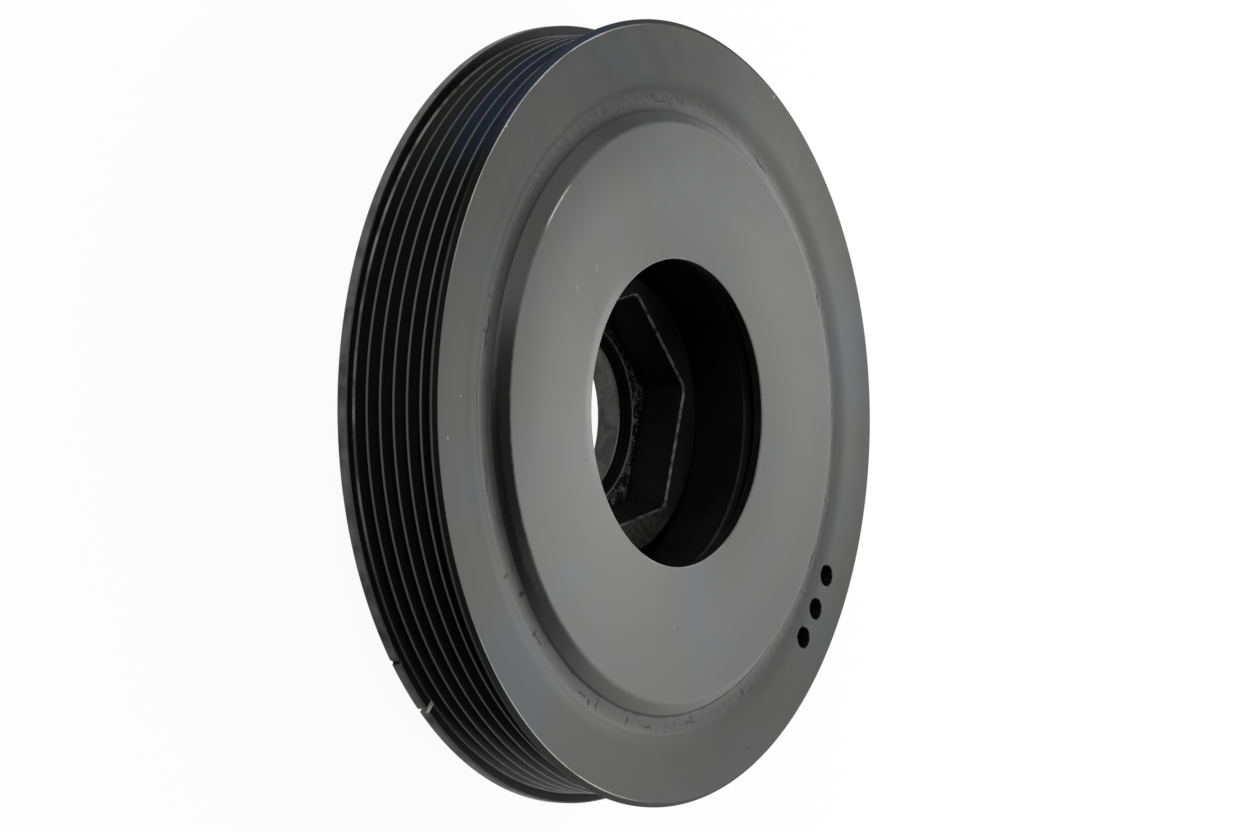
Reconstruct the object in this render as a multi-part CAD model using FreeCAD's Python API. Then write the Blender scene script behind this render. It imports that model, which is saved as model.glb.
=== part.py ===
"""Crankshaft pulley with two vibration dampers, modelled in millimetres.

The axis is Z. The origin is on the axis, on the rear face of the hub's boss, which seats on the
crankshaft and on which the loose pulley stands. +Z points away from the engine.
Sizes stack outwards from the bore and upwards from the boss, so each one can be changed alone.
"""

import math
import os

import FreeCAD
import Part

# Hub: bore, bolt seat and boss
BORE_RADIUS = 19.3
BORE_CHAMFER = 0.8
KEYWAY_WIDTH = 6.0
KEYWAY_DEPTH = 2.8
KEYWAY_ANGLE = 180.0
BOLT_SEAT_WIDTH = 2.0
BOLT_SEAT_HEIGHT = 6.5
COUNTERBORE_DEPTH = 2.5
BOSS_WALL = 7.2
BOSS_HEIGHT = 6.0
BOSS_CHAMFER = 1.0

# Hub: nose with its six-sided pocket for the holding tool
POCKET_FLOOR_LEDGE = 1.8
POCKET_DRAFT_ANGLE = 10.5
POCKET_DEPTH = 10.1
POCKET_CORNER_RADIUS = 2.6
POCKET_LIP = 0.5
POCKET_ANGLE = 12.0
POCKET_SIDES = 6
NOSE_WALL = 4.3
NOSE_EDGE_RADIUS = 1.2

# Hub: web and drum
DRUM_LAND = 8.0
WEB_RECESS = 1.5
WEB_THICKNESS = 5.0
WEB_FILLET = 2.0
DRUM_WALL = 7.2
DRUM_CHAMFER = 0.8

# Inner damper: a heavy ring bonded by rubber to the inside of the drum
INNER_RING_GAP = 4.3
INNER_RING_WALL = 18.9
INNER_RING_FLOOR_GAP = 2.0
INNER_RING_COVER_GAP = 3.6
INNER_RING_CHAMFER = 1.0
INNER_RUBBER_WALL = 4.6
INNER_RUBBER_INSET = 1.6
INNER_RUBBER_HOLLOW = 1.2

# Front cover: a shallow pressed cap over the end of the drum, with a conical shoulder
COVER_THICKNESS = 2.1
COVER_STAND = 2.45
COVER_SKIRT = 5.6
COVER_CLEARANCE = 0.05
COVER_HOLE_CLEARANCE = 1.55
COVER_HOLE_EDGE_RADIUS = 0.4
COVER_SHOULDER_WIDTH = 2.8
COVER_SHOULDER_HEIGHT = 2.8
COVER_SHOULDER_RADIUS = 0.8

# Outer damper: the rubber between the drum and the belt pulley
OUTER_RUBBER_WALL = 4.5
OUTER_RUBBER_FRONT_DROP = 0.4
OUTER_RUBBER_REAR_INSET = 1.4
OUTER_RUBBER_FRONT_HOLLOW = 0.8
OUTER_RUBBER_REAR_HOLLOW = 1.5

# Belt pulley: ribbed track between two flanges
RIM_SETBACK = 2.0
RIM_WALL = 10.6
RIM_BORE_CHAMFER = 0.6
REAR_FLANGE_WIDTH = 2.5
FLANGE_HEIGHT = 2.4
FLANGE_EDGE = 0.35
TRACK_LAND = 0.27
GROOVE_COUNT = 6
GROOVE_PITCH = 3.56
GROOVE_ANGLE = 40.0
GROOVE_ROOT_RADIUS = 0.6
CREST_WIDTH = 0.5
FRONT_FLANGE_TIP = 0.5
FRONT_FLANGE_BEVEL_WIDTH = 0.8
FRONT_FLANGE_BEVEL_DROP = 1.1

# Balancing holes drilled in the front face, and marks cut in the rear flange
BALANCE_HOLE_RADIUS = 2.5
BALANCE_HOLE_DEPTH = 12.0
BALANCE_HOLE_WALL = 2.0
BALANCE_HOLE_ANGLES = (-30.2, -37.1, -43.5)
DRILL_POINT_ANGLE = 118.0
TIMING_SLOT_ANGLE = -133.6
TIMING_SLOT_WIDTH = 1.3
TIMING_SLOT_DEPTH = 2.6
TIMING_NICK_ANGLE = -143.0
TIMING_NICK_WIDTH = 1.2
TIMING_NICK_DEPTH = 0.7

# Places that follow from the sizes above
GROOVE_HALF_ANGLE = math.radians(GROOVE_ANGLE / 2)
GROOVE_HALF_WIDTH = (GROOVE_PITCH - CREST_WIDTH) / 2
GROOVE_APEX_DEPTH = GROOVE_HALF_WIDTH / math.tan(GROOVE_HALF_ANGLE)
GROOVE_DEPTH = GROOVE_APEX_DEPTH - GROOVE_ROOT_RADIUS * (1 / math.sin(GROOVE_HALF_ANGLE) - 1)

BOSS_RADIUS = BORE_RADIUS + BOSS_WALL
COUNTERBORE_RADIUS = BORE_RADIUS + BOLT_SEAT_WIDTH
POCKET_FLOOR_Z = BOLT_SEAT_HEIGHT + COUNTERBORE_DEPTH
NOSE_FRONT_Z = POCKET_FLOOR_Z + POCKET_DEPTH
POCKET_FLAT_RATIO = math.cos(math.pi / POCKET_SIDES)
POCKET_FLOOR_RADIUS = (COUNTERBORE_RADIUS + POCKET_FLOOR_LEDGE) / POCKET_FLAT_RATIO
POCKET_SLOPE = math.tan(math.radians(POCKET_DRAFT_ANGLE)) / POCKET_FLAT_RATIO
POCKET_MOUTH_RADIUS = POCKET_FLOOR_RADIUS + POCKET_DEPTH * POCKET_SLOPE
NOSE_RADIUS = POCKET_MOUTH_RADIUS + NOSE_WALL
INNER_RING_BORE = NOSE_RADIUS + INNER_RING_GAP
INNER_RING_RADIUS = INNER_RING_BORE + INNER_RING_WALL
DRUM_BORE = INNER_RING_RADIUS + INNER_RUBBER_WALL
DRUM_RADIUS = DRUM_BORE + DRUM_WALL
RIM_BORE = DRUM_RADIUS + OUTER_RUBBER_WALL
CREST_RADIUS = RIM_BORE + RIM_WALL + GROOVE_DEPTH
FLANGE_RADIUS = CREST_RADIUS + FLANGE_HEIGHT

DRUM_REAR_Z = BOSS_HEIGHT
WEB_REAR_Z = DRUM_REAR_Z + WEB_RECESS
WEB_FRONT_Z = WEB_REAR_Z + WEB_THICKNESS
RIM_REAR_Z = DRUM_REAR_Z + RIM_SETBACK
TRACK_REAR_Z = RIM_REAR_Z + REAR_FLANGE_WIDTH
FIRST_GROOVE_Z = TRACK_REAR_Z + TRACK_LAND + GROOVE_HALF_WIDTH
TRACK_FRONT_Z = FIRST_GROOVE_Z + (GROOVE_COUNT - 1) * GROOVE_PITCH + GROOVE_HALF_WIDTH
FLANK_TOP_Z = TRACK_FRONT_Z + FLANGE_HEIGHT * math.tan(GROOVE_HALF_ANGLE)
RIM_FRONT_Z = FLANK_TOP_Z + FRONT_FLANGE_TIP + FRONT_FLANGE_BEVEL_WIDTH
COVER_FRONT_Z = RIM_FRONT_Z + COVER_STAND
COVER_REAR_Z = COVER_FRONT_Z - COVER_THICKNESS
COVER_SKIRT_Z = COVER_FRONT_Z - COVER_SKIRT
COVER_HOLE = NOSE_RADIUS + COVER_HOLE_CLEARANCE
COVER_SHOULDER_ANGLE = math.atan2(COVER_SHOULDER_WIDTH, COVER_SHOULDER_HEIGHT)
COVER_SKIRT_BORE = DRUM_RADIUS - COVER_THICKNESS
COVER_SHOULDER_Z = COVER_FRONT_Z - COVER_SHOULDER_HEIGHT
COVER_FACE_RADIUS = DRUM_RADIUS - COVER_SHOULDER_WIDTH
COVER_INNER_SHOULDER_Z = COVER_SHOULDER_Z - COVER_THICKNESS * math.tan(COVER_SHOULDER_ANGLE / 2)
COVER_SEAT_RADIUS = COVER_FACE_RADIUS - COVER_THICKNESS * math.tan(math.pi / 4 - COVER_SHOULDER_ANGLE / 2)
DRUM_STEP_RADIUS = COVER_SKIRT_BORE - COVER_CLEARANCE
DRUM_END_RADIUS = COVER_SEAT_RADIUS - COVER_CLEARANCE
INNER_RING_REAR_Z = WEB_FRONT_Z + INNER_RING_FLOOR_GAP
INNER_RING_FRONT_Z = COVER_REAR_Z - INNER_RING_COVER_GAP
BALANCE_CIRCLE = RIM_BORE + BALANCE_HOLE_WALL + BALANCE_HOLE_RADIUS

PROUD = 1.0
AXIS = FreeCAD.Vector(0, 0, 1)
ORIGIN = FreeCAD.Vector(0, 0, 0)


def at(radius, z):
    """A point of a turned outline, in the plane of X and Z."""
    return FreeCAD.Vector(radius, 0, z)


def turned(outline):
    """Solid of revolution of a closed outline of (radius, z) or (radius, z, corner radius) points."""
    corners = [(at(point[0], point[1]), point[2] if len(point) > 2 else 0.0) for point in outline]
    return revolved(rounded_edges(corners))


def revolved(edges):
    """Solid of revolution of a closed ring of edges in the plane of X and Z."""
    face = Part.Face(Part.Wire(edges))
    return face.revolve(ORIGIN, AXIS, 360)


def rounded_edges(corners):
    """Lines and tangent arcs through (point, corner radius) pairs that form a closed loop."""
    starts = []
    ends = []
    arcs = []
    for index, (corner, radius) in enumerate(corners):
        if radius <= 0:
            starts.append(corner)
            ends.append(corner)
            arcs.append(None)
            continue
        before = corners[index - 1][0] - corner
        after = corners[(index + 1) % len(corners)][0] - corner
        half = before.getAngle(after) / 2
        reach = radius / math.tan(half)
        first = corner + before.normalize() * reach
        last = corner + after.normalize() * reach
        inward = (first + last) * 0.5 - corner
        middle = corner + inward.normalize() * (radius / math.sin(half) - radius)
        starts.append(first)
        ends.append(last)
        arcs.append(Part.Arc(first, middle, last).toShape())
    edges = []
    for index, arc in enumerate(arcs):
        if arc:
            edges.append(arc)
        edges.append(Part.makeLine(ends[index], starts[(index + 1) % len(corners)]))
    return edges


def hollow_edge(start, end, depth):
    """An arc between two points whose middle is moved along Z by a depth."""
    middle = (start + end) * 0.5 + AXIS * depth
    return Part.Arc(start, middle, end).toShape()


def rubber_ring(inner, outer, rear_hollow, front_hollow):
    """Bonded ring whose walls are (radius, rear z, front z), with a hollow in each end."""
    inner_radius, inner_rear, inner_front = inner
    outer_radius, outer_rear, outer_front = outer
    edges = [
        hollow_edge(at(inner_radius, inner_rear), at(outer_radius, outer_rear), rear_hollow),
        Part.makeLine(at(outer_radius, outer_rear), at(outer_radius, outer_front)),
        hollow_edge(at(outer_radius, outer_front), at(inner_radius, inner_front), -front_hollow),
        Part.makeLine(at(inner_radius, inner_front), at(inner_radius, inner_rear)),
    ]
    return revolved(edges)


def pocket_wire(radius, z):
    """The tool pocket's outline at one height: a six-sided figure with rounded corners."""
    corners = []
    for side in range(POCKET_SIDES):
        angle = math.radians(POCKET_ANGLE + side * 360 / POCKET_SIDES)
        point = FreeCAD.Vector(radius * math.cos(angle), radius * math.sin(angle), z)
        corners.append((point, POCKET_CORNER_RADIUS))
    return Part.Wire(rounded_edges(corners))


def turned_about_axis(shape, angle):
    """A copy of a shape turned about the pulley's axis by an angle in degrees."""
    copy = shape.copy()
    copy.rotate(ORIGIN, AXIS, angle)
    return copy


def tool_pocket():
    """The drafted six-sided pocket in the nose, with its broken upper edge."""
    lip_z = NOSE_FRONT_Z - POCKET_LIP
    lip_radius = POCKET_MOUTH_RADIUS - POCKET_LIP * POCKET_SLOPE
    top_radius = lip_radius + (POCKET_LIP + PROUD) / POCKET_FLAT_RATIO
    wires = [
        pocket_wire(POCKET_FLOOR_RADIUS, POCKET_FLOOR_Z),
        pocket_wire(lip_radius, lip_z),
        pocket_wire(top_radius, NOSE_FRONT_Z + PROUD),
    ]
    return Part.makeLoft(wires, True, True)


def keyway():
    """The block that cuts the key's slot in the bore."""
    block = Part.makeBox(
        BORE_RADIUS + KEYWAY_DEPTH,
        KEYWAY_WIDTH,
        POCKET_FLOOR_Z + 2 * PROUD,
        FreeCAD.Vector(0, -KEYWAY_WIDTH / 2, -PROUD),
    )
    return turned_about_axis(block, KEYWAY_ANGLE)


def hub():
    """Iron hub in one piece: boss, bore, nose with the tool pocket, web and drum."""
    land_radius = DRUM_RADIUS - DRUM_LAND
    body = turned(
        [
            (BORE_RADIUS + BORE_CHAMFER, 0),
            (BOSS_RADIUS - BOSS_CHAMFER, 0),
            (BOSS_RADIUS, BOSS_CHAMFER),
            (BOSS_RADIUS, WEB_REAR_Z, WEB_FILLET),
            (land_radius - WEB_RECESS, WEB_REAR_Z),
            (land_radius, DRUM_REAR_Z),
            (DRUM_RADIUS - DRUM_CHAMFER, DRUM_REAR_Z),
            (DRUM_RADIUS, DRUM_REAR_Z + DRUM_CHAMFER),
            (DRUM_RADIUS, COVER_SKIRT_Z),
            (DRUM_STEP_RADIUS, COVER_SKIRT_Z),
            (DRUM_STEP_RADIUS, COVER_INNER_SHOULDER_Z),
            (DRUM_END_RADIUS, COVER_REAR_Z),
            (DRUM_BORE, COVER_REAR_Z),
            (DRUM_BORE, WEB_FRONT_Z, WEB_FILLET),
            (NOSE_RADIUS, WEB_FRONT_Z, WEB_FILLET),
            (NOSE_RADIUS, NOSE_FRONT_Z, NOSE_EDGE_RADIUS),
            (COUNTERBORE_RADIUS, NOSE_FRONT_Z),
            (COUNTERBORE_RADIUS, BOLT_SEAT_HEIGHT),
            (BORE_RADIUS, BOLT_SEAT_HEIGHT),
            (BORE_RADIUS, BORE_CHAMFER),
        ]
    )
    return body.cut(tool_pocket()).cut(keyway())


def inner_ring():
    """Heavy ring of the inner damper, of which only the bore shows past the cover."""
    return turned(
        [
            (INNER_RING_BORE + INNER_RING_CHAMFER, INNER_RING_REAR_Z),
            (INNER_RING_RADIUS - INNER_RING_CHAMFER, INNER_RING_REAR_Z),
            (INNER_RING_RADIUS, INNER_RING_REAR_Z + INNER_RING_CHAMFER),
            (INNER_RING_RADIUS, INNER_RING_FRONT_Z - INNER_RING_CHAMFER),
            (INNER_RING_RADIUS - INNER_RING_CHAMFER, INNER_RING_FRONT_Z),
            (INNER_RING_BORE + INNER_RING_CHAMFER, INNER_RING_FRONT_Z),
            (INNER_RING_BORE, INNER_RING_FRONT_Z - INNER_RING_CHAMFER),
            (INNER_RING_BORE, INNER_RING_REAR_Z + INNER_RING_CHAMFER),
        ]
    )


def inner_rubber():
    """Rubber that carries the inner ring inside the drum, hollowed at both ends."""
    rear = INNER_RING_REAR_Z + INNER_RUBBER_INSET
    front = INNER_RING_FRONT_Z - INNER_RUBBER_INSET
    return rubber_ring(
        (INNER_RING_RADIUS, rear, front),
        (DRUM_BORE, rear, front),
        INNER_RUBBER_HOLLOW,
        INNER_RUBBER_HOLLOW,
    )


def front_cover():
    """Pressed cap on the drum's front end: a flat disc with a wide hole, a shoulder and a short skirt."""
    return turned(
        [
            (COVER_HOLE, COVER_REAR_Z),
            (COVER_SEAT_RADIUS, COVER_REAR_Z),
            (COVER_SKIRT_BORE, COVER_INNER_SHOULDER_Z),
            (COVER_SKIRT_BORE, COVER_SKIRT_Z),
            (DRUM_RADIUS, COVER_SKIRT_Z),
            (DRUM_RADIUS, COVER_SHOULDER_Z),
            (COVER_FACE_RADIUS, COVER_FRONT_Z, COVER_SHOULDER_RADIUS),
            (COVER_HOLE, COVER_FRONT_Z, COVER_HOLE_EDGE_RADIUS),
        ]
    )


def outer_rubber():
    """Rubber between the drum and the belt pulley, hollowed at both ends."""
    front = RIM_FRONT_Z - OUTER_RUBBER_FRONT_DROP
    rear = RIM_REAR_Z + OUTER_RUBBER_REAR_INSET
    return rubber_ring(
        (DRUM_RADIUS, rear, front),
        (RIM_BORE, RIM_REAR_Z + RIM_BORE_CHAMFER, RIM_FRONT_Z - RIM_BORE_CHAMFER),
        OUTER_RUBBER_REAR_HOLLOW,
        OUTER_RUBBER_FRONT_HOLLOW,
    )


def track_outline():
    """The ribbed track from its rear land to the top of the front flange's flank."""
    points = []
    for index in range(GROOVE_COUNT):
        centre = FIRST_GROOVE_Z + index * GROOVE_PITCH
        points.append((CREST_RADIUS, centre - GROOVE_HALF_WIDTH))
        points.append((CREST_RADIUS - GROOVE_APEX_DEPTH, centre, GROOVE_ROOT_RADIUS))
        if index < GROOVE_COUNT - 1:
            points.append((CREST_RADIUS, centre + GROOVE_HALF_WIDTH))
    points.append((FLANGE_RADIUS, FLANK_TOP_Z))
    return points


def balance_hole(angle):
    """A blind drilled hole in the front face, with the cone that a drill leaves."""
    floor_z = RIM_FRONT_Z - BALANCE_HOLE_DEPTH
    cone_height = BALANCE_HOLE_RADIUS / math.tan(math.radians(DRILL_POINT_ANGLE / 2))
    drill = turned(
        [
            (0, floor_z - cone_height),
            (BALANCE_HOLE_RADIUS, floor_z),
            (BALANCE_HOLE_RADIUS, RIM_FRONT_Z + PROUD),
            (0, RIM_FRONT_Z + PROUD),
        ]
    )
    drill.translate(FreeCAD.Vector(BALANCE_CIRCLE, 0, 0))
    return turned_about_axis(drill, angle)


def flange_cut(angle, width, depth, length):
    """A block that cuts a mark of a width, depth and length into the rear flange's edge."""
    block = Part.makeBox(
        depth + PROUD,
        width,
        length + PROUD,
        FreeCAD.Vector(FLANGE_RADIUS - depth, -width / 2, RIM_REAR_Z - PROUD),
    )
    return turned_about_axis(block, angle)


def belt_pulley():
    """Iron ring with the ribbed belt track, its flanges, balancing holes and timing marks."""
    flange_front_radius = FLANGE_RADIUS - FRONT_FLANGE_BEVEL_DROP
    body = turned(
        [
            (RIM_BORE + RIM_BORE_CHAMFER, RIM_REAR_Z),
            (FLANGE_RADIUS, RIM_REAR_Z, FLANGE_EDGE),
            (FLANGE_RADIUS, TRACK_REAR_Z, FLANGE_EDGE),
            (CREST_RADIUS, TRACK_REAR_Z),
            *track_outline(),
            (FLANGE_RADIUS, FLANK_TOP_Z + FRONT_FLANGE_TIP),
            (flange_front_radius, RIM_FRONT_Z),
            (RIM_BORE + RIM_BORE_CHAMFER, RIM_FRONT_Z),
            (RIM_BORE, RIM_FRONT_Z - RIM_BORE_CHAMFER),
            (RIM_BORE, RIM_REAR_Z + RIM_BORE_CHAMFER),
        ]
    )
    for angle in BALANCE_HOLE_ANGLES:
        body = body.cut(balance_hole(angle))
    slot = flange_cut(TIMING_SLOT_ANGLE, TIMING_SLOT_WIDTH, TIMING_SLOT_DEPTH, REAR_FLANGE_WIDTH)
    nick = flange_cut(TIMING_NICK_ANGLE, TIMING_NICK_WIDTH, TIMING_NICK_DEPTH, REAR_FLANGE_WIDTH)
    return body.cut(slot).cut(nick)


NODES = {
    "hub": hub,
    "inner_ring": inner_ring,
    "inner_rubber": inner_rubber,
    "front_cover": front_cover,
    "outer_rubber": outer_rubber,
    "belt_pulley": belt_pulley,
}

os.makedirs("parts", exist_ok=True)
for name, make in NODES.items():
    shape = make()
    if not shape.isValid() or len(shape.Solids) != 1:
        raise SystemExit(f"{name} is not one valid solid")
    shape.Solids[0].exportStep(f"parts/{name}.step")
    print(f"{name}: {shape.Volume / 1000:.1f} cubic centimetres, {len(shape.Faces)} faces")
print(f"outside diameter {2 * FLANGE_RADIUS:.1f}, height {COVER_FRONT_Z:.2f}")
print(f"crest {CREST_RADIUS:.2f}, rim bore {RIM_BORE:.2f}, drum {DRUM_RADIUS:.2f}")
print(f"cover hole {COVER_HOLE:.2f}, nose {NOSE_RADIUS:.2f}, rim front {RIM_FRONT_Z:.2f}")
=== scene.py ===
"""Looks of the crankshaft pulley: a ribbed belt track, two bonded dampers and a pressed front cover.

Lengths are in metres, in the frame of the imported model. The pulley's axis is Z, its rear boss stands
on the floor at Z = 0, and its front face looks up. Angles run from X towards Y, in degrees where a
finish, a drilled hole or a timing mark gives them.
"""

import logging
import math
from collections.abc import Callable, Sequence
from dataclasses import dataclass
from enum import Enum
from itertools import pairwise

import bmesh
import bpy
from mathutils import Matrix, Vector


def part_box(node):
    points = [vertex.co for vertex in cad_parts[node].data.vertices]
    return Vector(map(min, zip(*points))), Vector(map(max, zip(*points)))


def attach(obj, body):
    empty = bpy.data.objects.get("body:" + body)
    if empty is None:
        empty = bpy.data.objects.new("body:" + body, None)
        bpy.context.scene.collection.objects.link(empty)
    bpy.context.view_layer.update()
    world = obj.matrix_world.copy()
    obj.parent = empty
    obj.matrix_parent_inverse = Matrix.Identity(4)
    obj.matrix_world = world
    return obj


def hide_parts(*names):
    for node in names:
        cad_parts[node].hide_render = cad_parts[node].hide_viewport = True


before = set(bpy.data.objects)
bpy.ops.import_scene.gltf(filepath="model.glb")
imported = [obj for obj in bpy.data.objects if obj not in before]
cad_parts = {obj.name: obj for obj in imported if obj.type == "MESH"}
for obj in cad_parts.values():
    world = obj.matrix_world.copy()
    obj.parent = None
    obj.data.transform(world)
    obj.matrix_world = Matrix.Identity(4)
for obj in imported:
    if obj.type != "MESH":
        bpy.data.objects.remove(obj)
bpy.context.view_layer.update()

LOG = logging.getLogger("pulley")
ROOT_BODY = "root"

MM = 0.001
SEED_SIZE = 1 * MM
MERGE_DISTANCE = 0.002 * MM
FINE_STEPS = 360
PLAIN_STEPS = 240
ROUND_SEGMENTS = 4
SMOOTH_ANGLE = math.radians(32)
PROUD = 1 * MM
BOX_MARGIN = 0.001 * MM
FLOOR_GAP = 0.02 * MM

# The reach of a mark that goes all round the axis, in degrees
ALL_ROUND = 180.0
# Half of a sharp dark patch's border, in millimetres
SHARP_BORDER = 0.35
# The dark patches at the top and the upper left that the pulley's front face and the rubber beside it
# share
TOP_DARKENING = ((92, 34, 60, 95, 0.3), (122, 48, 60, 74, 0.25))
# A normal that rises less is upright, and one that rises more is flat
UPRIGHT = 0.3
FLAT = 0.95
# How far a face may lie past the place where it is looked for
SLACK = 0.05 * MM

Colour = tuple[float, float, float]
Element = bmesh.types.BMVert | bmesh.types.BMEdge | bmesh.types.BMFace


# Modelling helpers


@dataclass(frozen=True)
class Corner:
    """One corner of a turned outline, with the radius that rounds it."""

    radius: float
    height: float
    rounding: float = 0.0

    @property
    def place(self) -> Vector:
        """The corner's place in the plane of X and Z."""
        return Vector((self.radius, 0.0, self.height))


def deselect_everything() -> None:
    """Go to object mode and deselect every object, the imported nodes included."""
    active = bpy.context.view_layer.objects.active
    if active and active.mode != "OBJECT":
        bpy.ops.object.mode_set(mode="OBJECT")
    bpy.ops.object.select_all(action="DESELECT")


def activate(piece: bpy.types.Object) -> None:
    """Make a piece the only selected object and the active one.

    Args:
        piece: The piece to work on.
    """
    deselect_everything()
    piece.select_set(True)
    bpy.context.view_layer.objects.active = piece


def select(kind: str, passes: Callable[[Element], bool]) -> int:
    """Select the active piece's vertices, edges or faces that pass a test, in edit mode.

    Args:
        kind: VERT, EDGE or FACE.
        passes: Says whether an element is selected.

    Returns:
        How many are selected.
    """
    mesh = bpy.context.object.data
    bpy.ops.mesh.select_mode(type=kind)
    bpy.ops.mesh.select_all(action="DESELECT")
    editing = bmesh.from_edit_mesh(mesh)
    elements = {"VERT": editing.verts, "EDGE": editing.edges, "FACE": editing.faces}[kind]
    chosen = [element for element in elements if passes(element)]
    for element in chosen:
        element.select_set(True)
    bmesh.update_edit_mesh(mesh)
    return len(chosen)


def rounding_reach(before: Vector, corner: Corner, after: Vector) -> float:
    """How far along its two edges a corner is cut so that an arc of its radius fits.

    Args:
        before: The place of the corner before.
        corner: The corner that is rounded.
        after: The place of the corner after.

    Returns:
        The distance from the corner to where the arc starts.
    """
    half = (before - corner.place).angle(after - corner.place) / 2
    return corner.rounding / math.tan(half)


def turn(name: str, corners: Sequence[Corner], steps: int = FINE_STEPS) -> bpy.types.Object:
    """Model a ring or shaft as on a lathe: draw its outline, round its corners and spin it.

    Args:
        name: The piece's name.
        corners: The closed outline's corners.
        steps: How many steps the spin has.

    Returns:
        The turned piece, closed and with its faces outwards.
    """
    deselect_everything()
    bpy.ops.mesh.primitive_plane_add(size=SEED_SIZE, location=corners[0].place)
    piece = bpy.context.object
    piece.name = name
    piece.data.name = name
    bpy.ops.object.transform_apply(location=True, rotation=True, scale=True)
    bpy.ops.object.mode_set(mode="EDIT")
    bpy.ops.mesh.select_mode(type="VERT")
    bpy.ops.mesh.select_all(action="SELECT")
    bpy.ops.mesh.merge(type="CENTER")
    for start, end in pairwise([*corners, corners[0]]):
        step = end.place - start.place
        bpy.ops.mesh.extrude_vertices_move(TRANSFORM_OT_translate={"value": step})
    bpy.ops.mesh.select_all(action="SELECT")
    bpy.ops.mesh.remove_doubles(threshold=MERGE_DISTANCE)
    bpy.ops.mesh.edge_face_add()
    round_corners(corners)
    bpy.ops.mesh.select_all(action="SELECT")
    bpy.ops.mesh.delete(type="ONLY_FACE")
    bpy.ops.mesh.select_all(action="SELECT")
    bpy.ops.mesh.spin(steps=steps, angle=math.tau, center=(0, 0, 0), axis=(0, 0, 1))
    close_and_face_outwards()
    bpy.ops.object.mode_set(mode="OBJECT")
    bpy.ops.object.shade_smooth_by_angle(angle=SMOOTH_ANGLE)
    return piece


def round_corners(corners: Sequence[Corner]) -> None:
    """Bevel the flat outline's corners that have a rounding, in edit mode.

    Args:
        corners: The closed outline's corners, in order.
    """
    for index, corner in enumerate(corners):
        if not corner.rounding:
            continue
        after = corners[(index + 1) % len(corners)].place
        reach = rounding_reach(corners[index - 1].place, corner, after)
        select("VERT", lambda vertex, here=corner.place: (vertex.co - here).length < MERGE_DISTANCE)
        bpy.ops.mesh.bevel(
            offset=reach,
            offset_type="OFFSET",
            segments=ROUND_SEGMENTS,
            profile=0.5,
            affect="VERTICES",
            clamp_overlap=False,
        )


def close_and_face_outwards() -> None:
    """Merge doubled vertices and turn all faces outwards, in edit mode."""
    bpy.ops.mesh.select_mode(type="VERT")
    bpy.ops.mesh.select_all(action="SELECT")
    bpy.ops.mesh.remove_doubles(threshold=MERGE_DISTANCE)
    bpy.ops.mesh.normals_make_consistent(inside=False)


def turn_about_axis(piece: bpy.types.Object, angle: float) -> None:
    """Turn a piece's mesh about the pulley's axis and leave its object unturned.

    Args:
        piece: The piece to turn.
        angle: The angle in radians.
    """
    piece.data.transform(Matrix.Rotation(angle, 4, "Z"))


def cut(piece: bpy.types.Object, cutter: bpy.types.Object) -> None:
    """Cut a piece with another, which is used up.

    Args:
        piece: The piece that is cut.
        cutter: The closed mesh that is taken out of it.
    """
    activate(piece)
    modifier = piece.modifiers.new("cut", "BOOLEAN")
    modifier.operation = "DIFFERENCE"
    modifier.solver = "EXACT"
    modifier.object = cutter
    bpy.ops.object.modifier_apply(modifier=modifier.name)
    activate(cutter)
    bpy.ops.object.delete()
    activate(piece)


def block(name: str, size: Vector, centre: Vector) -> bpy.types.Object:
    """Model a rectangular cutter.

    Args:
        name: The cutter's name.
        size: Its three sides.
        centre: The place of its centre.

    Returns:
        The cutter, with its place in its mesh.
    """
    deselect_everything()
    bpy.ops.mesh.primitive_cube_add(size=1, location=centre, scale=size)
    cutter = bpy.context.object
    cutter.name = name
    bpy.ops.object.transform_apply(location=True, rotation=True, scale=True)
    return cutter


def hand_over(piece: bpy.types.Object, slot: str, *nodes: str) -> None:
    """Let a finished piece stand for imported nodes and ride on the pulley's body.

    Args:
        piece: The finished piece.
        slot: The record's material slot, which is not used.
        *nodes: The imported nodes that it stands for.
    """
    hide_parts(*nodes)
    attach(piece, ROOT_BODY)
    LOG.info("%s: %d faces", piece.name, len(piece.data.polygons))


# Shader expressions


def math_node(operation: str, swapped: bool = False) -> Callable[..., "Flow"]:
    """A method that makes one Math node of a flow and another value.

    Args:
        operation: The node's operation.
        swapped: Whether the other value comes first.

    Returns:
        The method.
    """

    def method(self: "Flow", other: "Flow | float" = 0.0) -> "Flow":
        first, second = (other, self) if swapped else (self, other)
        return self.tree.flow("ShaderNodeMath", 0, {0: first, 1: second}, operation=operation)

    return method


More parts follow.
